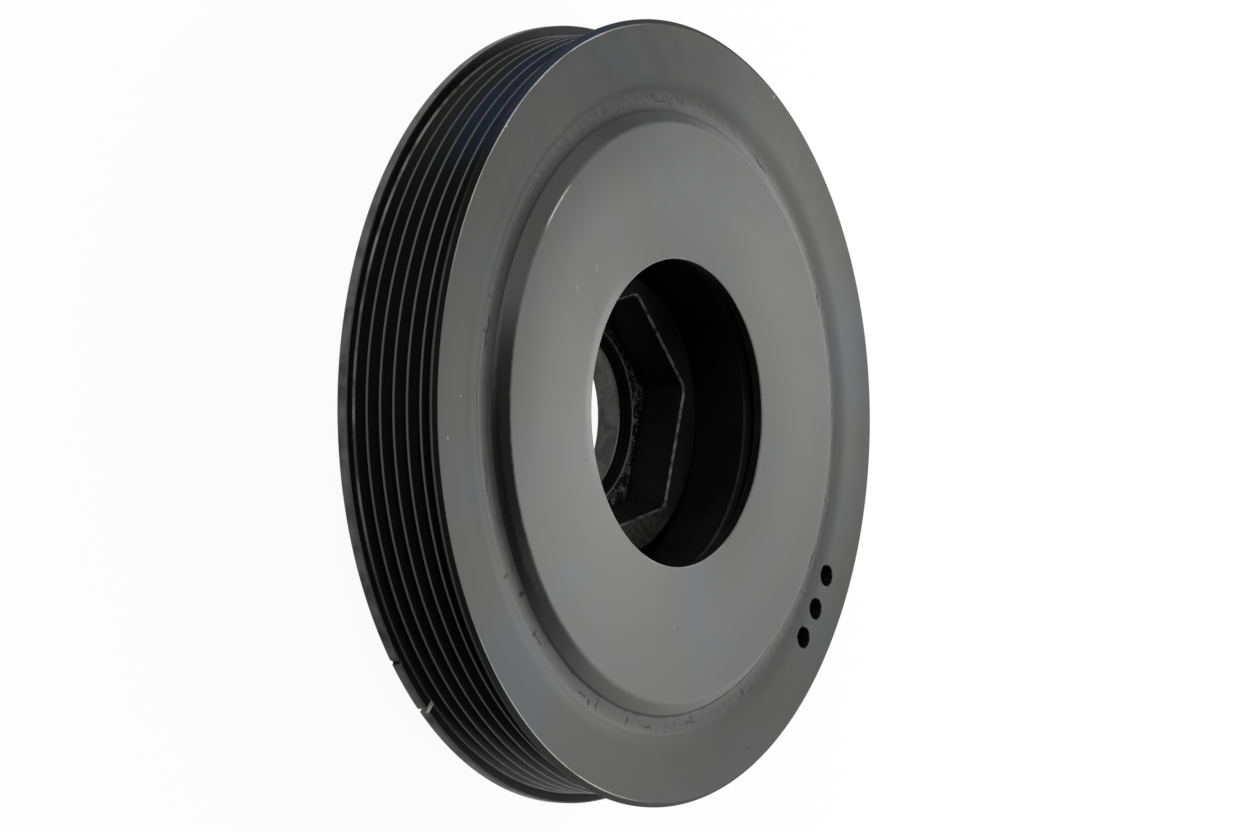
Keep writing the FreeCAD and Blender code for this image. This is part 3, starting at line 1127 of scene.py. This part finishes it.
    def _dress(self, piece: bpy.types.Object) -> None:
        """Give the coat, the track, the drilled holes and the timing slot their finishes."""
        piece.data.materials.append(self._coat().material())
        activate(piece)
        flange = self.rear + self.rear_flange
        dress_faces(
            TrackCoat("track_coat", self.crest_radius, flange + 0.5 * self.rear_land),
            Zone(
                bottom=flange - 2 * SLACK,
                top=self.first_groove + self.grooves * self.pitch,
                inner=self.crest_radius - self.track_depth,
                outer=self.outer - self.flange_lip,
            ).holds,
        )
        dress_faces(
            RubbedEdge("rear_flange_edge", grey(0.105, 0.002), grey(0.16, 0.003)),
            Zone(bottom=self.rear, top=flange, inner=self.outer - SLACK).holds,
        )
        dress_faces(BlackIron("drilled_black", grey(0.004)), self._in_hole)
        dress_faces(MarkPaint("timing_white"), self._in_slot)

    def _in_hole(self, centre: Vector, normal: Vector) -> bool:
        """Whether a face lies inside a balancing hole."""
        inside = centre.z < self.front - 0.5 * self.hole_break
        for angle in map(math.radians, self.hole_angles):
            axis = Vector((math.cos(angle), math.sin(angle))) * self.hole_circle
            if inside and (centre.xy - axis).length < self.hole_radius + 2 * SLACK:
                return True
        return False

    def _in_slot(self, centre: Vector, normal: Vector) -> bool:
        """Whether a face is a wall or the floor of the timing slot."""
        angle = math.radians(self.slot_angle)
        outwards = Vector((math.cos(angle), math.sin(angle)))
        across = abs(centre.xy.cross(outwards))
        depth = self.outer - centre.xy.dot(outwards)
        beside = across < self.slot_width / 2 + SLACK and abs(normal.z) < UPRIGHT
        return beside and SLACK < depth < self.slot_depth + SLACK and centre.z < self.first_groove

    def _coat(self) -> GreyCoat:
        """The ring's dark satin coat: edge wear, chips, specks, and painted highlights and shade."""
        edge = self.outer - self.bevel_drop
        bevel = self.outer - 0.5 * self.bevel_drop
        front = self.front
        return GreyCoat(
            name="pulley_coat",
            colour=grey(0.107, 0.002),
            warm=grey(0.111, 0.009),
            cool=(0.103, 0.107, 0.112),
            # A painted reflection of the turned face, lighter towards the bottom
            painted_sheen=PaintedSheen(28, 0.33, -90, 0.06),
            wear_and_glints=(
                # Kept to an angle, these are painted highlights on the front edge and bevel; the rear
                # edge's is wear
                WearAndGlintRing(edge, front, 0.35 * MM, 0.42, strength=0.7, angle=130, reach=40),
                WearAndGlintRing(edge, front, 0.35 * MM, 0.42, strength=0.7, angle=-125, reach=30),
                WearAndGlintRing(bevel, front - 0.4 * MM, 0.7 * MM, 0.4, strength=0.45, angle=184, reach=50),
                WearAndGlintRing(bevel, front - 0.4 * MM, 0.7 * MM, 0.4, strength=0.7, angle=20, reach=120),
                WearAndGlintRing(self.outer, self.rear, 0.4 * MM, 0.5),
            ),
            pale_spots=spots(
                front,
                (86.8, 58.7, 0.8, 0.4, 51.6),
                (87.2, 135.5, 0.6, 0.4),
                (79.5, 177.5, 0.45, 0.35),
                (84.3, -176.4, 0.7, 0.35),
            ),
            dark_spots=spots(front, (83.4, -68.5, 0.6, 0.5)),
            dark_patches=dark_patches(
                *TOP_DARKENING,
                # Painted shade on the front bevel and edge at the upper left
                (133, 30, edge / MM + 0.4, 95, 0.85),
                (10, 75, 82, 99, 0.38, 6),
                # Painted shade beside the cover on the left
                (170, 50, 60, 78, 0.16, 3),
            ),
        )


@dataclass
class OuterRubber:
    """The bonded rubber ring whose hollow front end is the trough round the cover."""

    node: str = "outer_rubber"
    inner_drop: float = 0.4 * MM
    front_hollow: float = 0.5 * MM
    rear_inset: float = 0.8 * MM
    rear_hollow: float = 1.5 * MM
    arc_points: int = 12
    flash_radius: float = 70.6 * MM
    flash_low: float = 69.6 * MM
    flash_high: float = 72.0 * MM
    flash_height: float = 0.3 * MM
    flash_grain: float = 0.8 * MM

    def build(self, drum_radius: float, pulley: BeltPulley) -> bpy.types.Object:
        """Model the rubber ring, raise its flash and dress it.

        Args:
            drum_radius: The radius of the drum and the cover inside it.
            pulley: The ring outside it.

        Returns:
            The finished rubber.
        """
        bore = pulley.bore
        rear = pulley.rear + pulley.bore_chamfer
        front = pulley.front - pulley.bore_chamfer
        inner_front = pulley.front - self.inner_drop
        corners = self._hollow(drum_radius, rear + self.rear_inset, bore, rear, self.rear_hollow)
        corners += self._hollow(bore, front, drum_radius, inner_front, -self.front_hollow)
        piece = turn("damper_rubber", corners, steps=2 * FINE_STEPS)
        self._raise_flash(piece)
        piece.data.materials.append(self._finish(drum_radius, inner_front).material())
        hand_over(piece, "damper_rubber", self.node)
        return piece

    def _finish(self, drum_radius: float, height: float) -> BondedRubber:
        """The rubber's finish, with the torn spots of its front end."""
        torn = (
            (71.1, -117.1, 1.62, 0.95),
            (70.6, -114.5, 2.7, 0.57),
            (70.3, -104.2, 1.62, 0.76),
            (69.6, -83.2, 1.26, 0.76),
            (71.4, -64.9, 1.62, 0.76),
            (71.9, -151.1, 1.62, 0.95),
            (69.2, -145.9, 1.62, 1.14),
            (70.7, -137.9, 1.8, 0.76),
            (72.2, 159.8, 1.62, 0.57),
            (72.2, 166.0, 1.8, 0.57),
            (69.9, 88.0, 1.62, 0.76),
            (71.0, 84.1, 1.8, 0.665),
            (71.4, 93.9, 1.26, 0.95),
        )
        along_radius = ((radius, angle, length, width, angle) for radius, angle, length, width in torn)
        return BondedRubber(
            name="outer_rubber_finish",
            rubber=grey(0.012),
            overspray=grey(0.138, 0.002),
            flash_radius=self.flash_radius,
            contact_radius=drum_radius,
            # A painted reflection round the axis; the first dark patch is painted shade by the cover's
            # foot on the left
            painted_sheen=PaintedSheen(22, 0.3),
            dark_spots=spots(height, *along_radius, depth=2 * MM),
            dark_patches=dark_patches((198, 36, drum_radius / MM - 1, 69.4, 0.35), *TOP_DARKENING),
        )

    def _hollow(
        self, from_radius: float, from_height: float, to_radius: float, to_height: float, sag: float
    ) -> list[Corner]:
        """Points of a hollow end between two walls, as a shallow arc."""
        corners = []
        for step in range(self.arc_points + 1):
            share = step / self.arc_points
            radius = from_radius + share * (to_radius - from_radius)
            height = from_height + share * (to_height - from_height) + 4 * share * (1 - share) * sag
            corners.append(Corner(radius, height))
        return corners

    def _raise_flash(self, piece: bpy.types.Object) -> None:
        """Raise the ragged flash that the mould left round the front end."""
        activate(piece)
        bpy.ops.object.mode_set(mode="EDIT")
        middle = sum(box_of(self.node)[1:]) / 2
        flash = Zone(bottom=middle, inner=self.flash_low, outer=self.flash_high)
        select("VERT", lambda vertex: flash.holds(vertex.co, vertex.normal))
        group = piece.vertex_groups.new(name="flash")
        bpy.ops.object.vertex_group_assign()
        bpy.ops.object.mode_set(mode="OBJECT")
        texture = bpy.data.textures.new("flash_lumps", "CLOUDS")
        texture.noise_scale = self.flash_grain
        modifier = piece.modifiers.new("flash", "DISPLACE")
        modifier.texture = texture
        modifier.vertex_group = group.name
        modifier.strength = self.flash_height
        modifier.mid_level = 0.5
        bpy.ops.object.modifier_apply(modifier=modifier.name)
        bpy.data.textures.remove(texture)


@dataclass
class FrontCover:
    """The pressed cap over the drum's front end, with its conical shoulder."""

    node: str = "front_cover"
    thickness: float = 2.1 * MM
    hole: float = 34.69 * MM
    shoulder: float = 2.8 * MM
    shoulder_round: float = 1.6 * MM
    skirt_round: float = 0.5 * MM
    hole_round: float = 0.4 * MM
    inner_hole_round: float = 0.2 * MM

    def __post_init__(self) -> None:
        """Work out the cover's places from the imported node."""
        self.outer, self.skirt_end, self.front = box_of(self.node)
        offset = self.thickness * math.tan(math.pi / 8)
        self.rear = self.front - self.thickness
        self.skirt_bore = self.outer - self.thickness
        self.face_radius = self.outer - self.shoulder
        self.inner_shoulder = self.front - self.shoulder - offset
        self.seat_radius = self.face_radius - offset

    def build(self) -> bpy.types.Object:
        """Model the cap and dress it.

        Returns:
            The finished cap.
        """
        piece = turn(
            "cover_cap",
            [
                Corner(self.hole, self.rear, self.inner_hole_round),
                Corner(self.seat_radius, self.rear),
                Corner(self.skirt_bore, self.inner_shoulder),
                Corner(self.skirt_bore, self.skirt_end),
                Corner(self.outer, self.skirt_end),
                Corner(self.outer, self.front - self.shoulder, self.skirt_round),
                Corner(self.face_radius, self.front, self.shoulder_round),
                Corner(self.hole, self.front, self.hole_round),
            ],
        )
        piece.data.materials.append(self._coat().material())
        activate(piece)
        # The hole's upright wall gets near-black: painted shade, as that coat lies in shadow
        wall = Zone(outer=self.hole + SLACK, least_rise=-UPRIGHT, most_rise=UPRIGHT)
        dress_faces(BlackIron("hole_wall_painted_shade", grey(0.006)), wall.holds)
        hand_over(piece, "cover_paint", self.node)
        return piece

    def _coat(self) -> GreyCoat:
        """The cap's lighter satin coat, with edge wear, marks, and painted highlights and shade."""
        front = self.front
        face = self.face_radius / MM
        glint = self.face_radius - 0.4 * MM
        return GreyCoat(
            name="cover_coat",
            colour=grey(0.199, 0.004),
            warm=grey(0.203, 0.011),
            cool=(0.194, 0.197, 0.202),
            # A painted reflection of the turned face, lighter towards the left
            painted_sheen=PaintedSheen(30, 0.11, 190, 0.06),
            wear_and_glints=(
                # Painted highlights: on the face's edge at the upper left, with wear round the hole,
                # and faint beside it on the left
                WearAndGlintRing(glint, front, 0.5 * MM, 0.3, 1.2, 0.85, angle=136.5, reach=7),
                WearAndGlintRing(self.hole, front, 0.45 * MM, 0.38, strength=0.35),
                WearAndGlintRing(self.hole, front, 3.5 * MM, 0.5, 0.3, 0.2, angle=165, reach=45),
            ),
            pale_spots=spots(front, (45.4, 135.5, 1.2, 0.22, 90), (48.5, 145.8, 1.2, 0.2, 80)),
            dark_patches=dark_patches(
                # Painted shade on the shoulder and at its foot on the left, where light doesn't reach
                (200, 42, face - 0.1, 70, 0.6),
                (184, 28, face - 0.1, 67.6, 0.7),
                (196, 26, 66.8, 70, 0.75),
                # Darker at the top, then towards the rim on the right and the upper left
                (82, 44, 30, face, 0.1),
                (30, ALL_ROUND, 57, 95, 0.2, 8),
                (145, 60, 57, 95, 0.22, 8),
                # Painted shade on the shoulder at the top
                (98, 24, face + 0.2, 70, 0.4),
            ),
            dark_spots=spots(
                front,
                (38.7, -164.5, 0.4, 0.35),
                (41.9, -159.5, 0.35, 0.25),
                (48.7, -92.0, 0.3, 0.6),
            ),
        )


@dataclass
class Hub:
    """The one-piece iron hub: boss, bore, bolt seat, nose with its hexagon, web and drum."""

    node: str = "hub"
    bore: float = 19.3 * MM
    bore_chamfer: float = 0.8 * MM
    boss: float = 26.5 * MM
    boss_height: float = 6 * MM
    boss_chamfer: float = 1 * MM
    seat_radius: float = 21.3 * MM
    seat_height: float = 6.5 * MM
    seat_round: float = 0.3 * MM
    floor_height: float = 9 * MM
    floor_radius: float = 26.67 * MM
    floor_fillet: float = 0.9 * MM
    nose_height: float = 19.1 * MM
    mouth_radius: float = 28.83 * MM
    lip: float = 0.45 * MM
    corner_round: float = 2.6 * MM
    hexagon_angle: float = math.radians(12)
    nose_radius: float = 33.14 * MM
    nose_round: float = 1.2 * MM
    web_recess: float = 1.5 * MM
    recess_round: float = 0.5 * MM
    web: float = 5 * MM
    fillet: float = 2 * MM
    land: float = 8 * MM
    land_round: float = 0.4 * MM
    drum_wall: float = 7.2 * MM
    drum_chamfer: float = 0.8 * MM
    cap_clearance: float = 0.05 * MM
    keyway_width: float = 6 * MM
    keyway_depth: float = 2.8 * MM

    def build(self, cover: FrontCover) -> bpy.types.Object:
        """Model the hub, cut its pocket and keyway, and dress it.

        Args:
            cover: The cap that seats on the drum's front end.

        Returns:
            The finished hub.
        """
        self.drum, _, self.front = box_of(self.node)
        piece = turn("hub_casting", self._outline(cover), steps=PLAIN_STEPS)
        cut(piece, self._pocket())
        cut(piece, self._keyway())
        bpy.ops.object.shade_smooth_by_angle(angle=SMOOTH_ANGLE)
        self._dress(piece)
        hand_over(piece, "hub_iron", self.node)
        return piece

    def _outline(self, cover: FrontCover) -> list[Corner]:
        """The hub's outline, from the boss out to the drum and back to the bore."""
        web_rear = self.boss_height + self.web_recess
        web_front = web_rear + self.web
        land = self.drum - self.land
        return [
            Corner(self.bore + self.bore_chamfer, 0),
            Corner(self.boss - self.boss_chamfer, 0),
            Corner(self.boss, self.boss_chamfer),
            Corner(self.boss, web_rear, self.fillet),
            Corner(land - self.web_recess, web_rear, self.recess_round),
            Corner(land, self.boss_height, self.land_round),
            Corner(self.drum - self.drum_chamfer, self.boss_height),
            Corner(self.drum, self.boss_height + self.drum_chamfer),
            Corner(self.drum, cover.skirt_end),
            Corner(cover.skirt_bore - self.cap_clearance, cover.skirt_end),
            Corner(cover.skirt_bore - self.cap_clearance, cover.inner_shoulder),
            Corner(cover.seat_radius - self.cap_clearance, self.front),
            Corner(self.drum - self.drum_wall, self.front),
            Corner(self.drum - self.drum_wall, web_front, self.fillet),
            Corner(self.nose_radius, web_front, self.fillet),
            Corner(self.nose_radius, self.nose_height, self.nose_round),
            Corner(self.seat_radius, self.nose_height),
            Corner(self.seat_radius, self.seat_height, self.seat_round),
            Corner(self.bore, self.seat_height, self.seat_round),
            Corner(self.bore, self.bore_chamfer),
        ]

    def _pocket(self) -> bpy.types.Object:
        """The cutter for the drafted hexagon, with its broken lip and filleted floor."""
        deselect_everything()
        bpy.ops.mesh.primitive_cylinder_add(
            vertices=6,
            radius=self.floor_radius,
            depth=SEED_SIZE,
            location=(0, 0, self.floor_height + SEED_SIZE / 2),
        )
        cutter = bpy.context.object
        cutter.name = "pocket_cutter"
        bpy.ops.object.transform_apply(location=True, rotation=True, scale=True)
        bpy.ops.object.mode_set(mode="EDIT")
        wall = self.nose_height - self.lip
        self._raise_top(wall - SEED_SIZE - self.floor_height, self.mouth_radius / self.floor_radius)
        flat = math.cos(math.pi / 6)
        rise = self.lip + PROUD
        self._raise_top(rise, 1 + rise / flat / self.mouth_radius)
        select("EDGE", self._is_upright)
        bpy.ops.mesh.bevel(offset=self.corner_round * math.tan(math.pi / 6), segments=6, affect="EDGES")
        low = self.floor_height + SLACK
        select("VERT", lambda vertex: vertex.co.z < low)
        bpy.ops.mesh.select_mode(type="EDGE")
        bpy.ops.mesh.region_to_loop()
        bpy.ops.mesh.bevel(offset=self.floor_fillet, segments=4, affect="EDGES")
        close_and_face_outwards()
        bpy.ops.object.mode_set(mode="OBJECT")
        turn_about_axis(cutter, self.hexagon_angle - math.pi / 6)
        return cutter

    def _raise_top(self, rise: float, growth: float) -> None:
        """Extrude the cutter's top face upwards and make it wider, in edit mode."""
        select("FACE", lambda face: face.normal.z > FLAT)
        bpy.ops.mesh.extrude_region_move(TRANSFORM_OT_translate={"value": (0, 0, rise)})
        bpy.ops.transform.resize(value=(growth, growth, 1), center_override=(0, 0, 0))

    @staticmethod
    def _is_upright(edge: bmesh.types.BMEdge) -> bool:
        """Whether an edge of the cutter lies between two of its flats."""
        run = edge.verts[1].co - edge.verts[0].co
        return abs(run.z) > UPRIGHT * run.length

    def _keyway(self) -> bpy.types.Object:
        """The block that cuts the key's slot, on the side away from X."""
        reach = self.bore + self.keyway_depth
        size = Vector((reach, self.keyway_width, self.floor_height + 2 * PROUD))
        centre = Vector((-reach / 2, 0, size.z / 2 - PROUD))
        return block("keyway_cutter", size, centre)

    def _dress(self, piece: bpy.types.Object) -> None:
        """Give the machined faces, the lip, the pocket's floor and the casting their finishes."""
        edges = (
            WearAndGlintRing(self.seat_radius, self.floor_height, 0.3 * MM, 0.35, raggedness=0.8),
            WearAndGlintRing(self.bore, self.seat_height, 0.45 * MM, 0.35, raggedness=0.8),
        )
        piece.data.materials.clear()
        piece.data.materials.append(BlackIron("hub_black", grey(0.004), Grain.CAST, edges).material())
        activate(piece)
        lip = self.nose_height - self.lip
        dress_faces(
            TurnedIron("bore_turned", grey(0.09, 0.002)),
            Zone(top=self.seat_height - self.seat_round, outer=self.bore + SLACK).holds,
        )
        dress_faces(
            TurnedIron("boss_turned", grey(0.25, 0.005)),
            Zone(top=SLACK, most_rise=-FLAT).holds,
        )
        dress_faces(
            BlackIron("pocket_floor_rough", grey(0.006), Grain.CAST, edges, fleck_share=0.8),
            Zone(
                bottom=self.floor_height - SLACK,
                top=self.floor_height + self.floor_fillet,
                outer=self.floor_radius,
                least_rise=UPRIGHT,
            ).holds,
        )
        dress_faces(
            RubbedEdge("hub_lip", grey(0.012), grey(0.12, 0.002), 1.8 * MM),
            Zone(
                bottom=lip, outer=self.mouth_radius + self.lip, least_rise=UPRIGHT, most_rise=FLAT
            ).holds,
        )
        # Painted light: a pale haze and flecks only on the nose's lower side, where light falls through
        # the hole
        nose = BlackIron(
            "nose_rough", grey(0.012), Grain.CAST, fleck_share=0.12, painted_light_angle=-72, painted_light_reach=32
        )
        dress_faces(nose, Zone(bottom=lip, inner=self.bore, least_rise=FLAT).holds)


@dataclass
class InnerDamper:
    """The heavy ring inside the drum and the rubber that carries it."""

    ring_node: str = "inner_ring"
    rubber_node: str = "inner_rubber"
    ring_bore: float = 37.44 * MM
    chamfer: float = 1 * MM
    hollow: float = 1.2 * MM

    def build(self) -> list[bpy.types.Object]:
        """Model the ring and its rubber and dress them.

        Returns:
            The finished ring and rubber.
        """
        outer, rear, front = box_of(self.ring_node)
        ring = turn(
            "inertia_ring",
            [
                Corner(self.ring_bore, rear + self.chamfer),
                Corner(self.ring_bore + self.chamfer, rear),
                Corner(outer - self.chamfer, rear),
                Corner(outer, rear + self.chamfer),
                Corner(outer, front - self.chamfer),
                Corner(outer - self.chamfer, front),
                Corner(self.ring_bore + self.chamfer, front),
                Corner(self.ring_bore, front - self.chamfer),
            ],
            steps=PLAIN_STEPS,
        )
        place = (self.ring_bore, front - self.chamfer)
        # A painted highlight on the ring's front bore edge, on the side that light reaches
        edge = WearAndGlintRing(*place, 0.5 * MM, 0.4, strength=0.12, angle=-30, reach=50)
        finish = BlackIron("ring_black", grey(0.005), wear_and_glints=(edge,))
        ring.data.materials.append(finish.material())
        hand_over(ring, "ring_iron", self.ring_node)
        wall, low, high = box_of(self.rubber_node)
        middle = (outer + wall) / 2
        rubber = turn(
            "inertia_ring_rubber",
            [
                Corner(outer, low),
                Corner(middle, low + self.hollow),
                Corner(wall, low),
                Corner(wall, high),
                Corner(middle, high - self.hollow),
                Corner(outer, high),
            ],
            steps=PLAIN_STEPS,
        )
        finish = BondedRubber("inner_rubber_finish", grey(0.01), grey(0.02), middle, outer)
        rubber.data.materials.append(finish.material())
        hand_over(rubber, "damper_rubber", self.rubber_node)
        return [ring, rubber]


# Studio


@dataclass(frozen=True)
class SoftLamp:
    """A square lamp that looks at the pulley from an azimuth and an elevation."""

    name: str
    azimuth: float
    elevation: float
    distance: float
    size: float
    power: float

    def hang(self) -> None:
        """Put the lamp in the scene."""
        data = bpy.data.lights.new(self.name, "AREA")
        data.shape = "SQUARE"
        data.size = self.size
        data.energy = self.power
        flat = self.distance * math.cos(self.elevation)
        place = Vector(
            (
                flat * math.cos(self.azimuth),
                flat * math.sin(self.azimuth),
                self.distance * math.sin(self.elevation),
            )
        )
        lamp = bpy.data.objects.new(self.name, data)
        lamp.location = place
        lamp.rotation_euler = (-place).to_track_quat("-Z", "Y").to_euler()
        bpy.context.scene.collection.objects.link(lamp)


@dataclass
class Studio:
    """The pale floor, the soft lamps and the camera at the photograph's viewing angle."""

    front_plane: float = 33.0 * MM
    camera_place: tuple[float, float, float] = (-0.7695, -0.0066, 0.5114)
    camera_right: tuple[float, float, float] = (0.5624, -0.0096, 0.8268)
    camera_up: tuple[float, float, float] = (0.0, 0.9999, 0.0116)
    lens: float = 118.13
    clip_start: float = 0.01
    floor_size: float = 6.0
    floor_glow: float = 0.95
    floor_colour: Colour = grey(0.9)
    floor_bounce: Colour = grey(0.08)
    white: tuple[float, float, float, float] = (1.0, 1.0, 1.0, 1.0)
    world_strength: float = 0.035
    lamps: tuple[SoftLamp, ...] = (
        SoftLamp("right_lamp", math.radians(15), math.radians(27), 1.3, 0.55, 12.5),
        SoftLamp("lower_lamp", math.radians(-35), math.radians(27), 1.3, 0.55, 12.5),
        SoftLamp("left_lamp", math.radians(135), math.radians(30), 1.3, 0.4, 6.0),
    )

    def build(self) -> None:
        """Set up the view, the camera, the lamps, the world and the floor."""
        scene = bpy.context.scene
        scene.view_settings.view_transform = "Standard"
        self._camera(scene)
        self._floor()
        self._world(scene)
        for lamp in self.lamps:
            lamp.hang()

    def _camera(self, scene: bpy.types.Scene) -> None:
        """Place the camera where the photograph was taken from."""
        data = bpy.data.cameras.new("camera")
        data.lens = self.lens
        data.clip_start = self.clip_start
        camera = bpy.data.objects.new("camera", data)
        scene.collection.objects.link(camera)
        right = Vector(self.camera_right).normalized()
        up = Vector(self.camera_up).normalized()
        back = right.cross(up).normalized()
        up = back.cross(right)
        turned = Matrix((right, up, back)).transposed().to_4x4()
        x, y, z = self.camera_place
        camera.matrix_world = Matrix.Translation((x, y, z + self.front_plane)) @ turned
        scene.camera = camera

    def _floor(self) -> None:
        """Lay the floor, which looks white apart from the pulley's shadow and bounces little light."""
        deselect_everything()
        bpy.ops.mesh.primitive_plane_add(size=self.floor_size, location=(0, 0, -FLOOR_GAP))
        floor = bpy.context.object
        floor.name = "studio_floor"
        shader = Shader("floor_white")
        seen = shader.seen()
        colour = shader.mix(seen, self.floor_bounce, self.floor_colour)
        surface = shader.flow("ShaderNodeBsdfPrincipled", 0, {"Base Color": colour, "Roughness": 0.9})
        glow = shader.flow("ShaderNodeEmission", 0, {"Color": self.white, "Strength": 1.0})
        mixed = shader.flow("ShaderNodeMixShader", 0, {0: seen * self.floor_glow, 1: surface, 2: glow})
        shader.node("ShaderNodeOutputMaterial", {"Surface": mixed})
        floor.data.materials.append(shader.material)

    def _world(self, scene: bpy.types.Scene) -> None:
        """Fill the room with an even, dim light, which itself looks white."""
        world = bpy.data.worlds.new("studio")
        world.use_nodes = True
        tree = Tree(world.node_tree)
        inputs = {"Color": self.white, "Strength": tree.seen().larger(self.world_strength)}
        background = tree.flow("ShaderNodeBackground", 0, inputs)
        tree.node("ShaderNodeOutputWorld", {"Surface": background})
        scene.world = world


def main() -> None:
    """Build the pulley's pieces in order, then the studio."""
    logging.basicConfig(level=logging.INFO, format="%(name)s: %(message)s")
    cover = FrontCover()
    pulley = BeltPulley()
    pulley.build()
    OuterRubber().build(cover.outer, pulley)
    cover.build()
    Hub().build(cover)
    InnerDamper().build()
    Studio().build()
    deselect_everything()


if __name__ == "__main__":
    main()
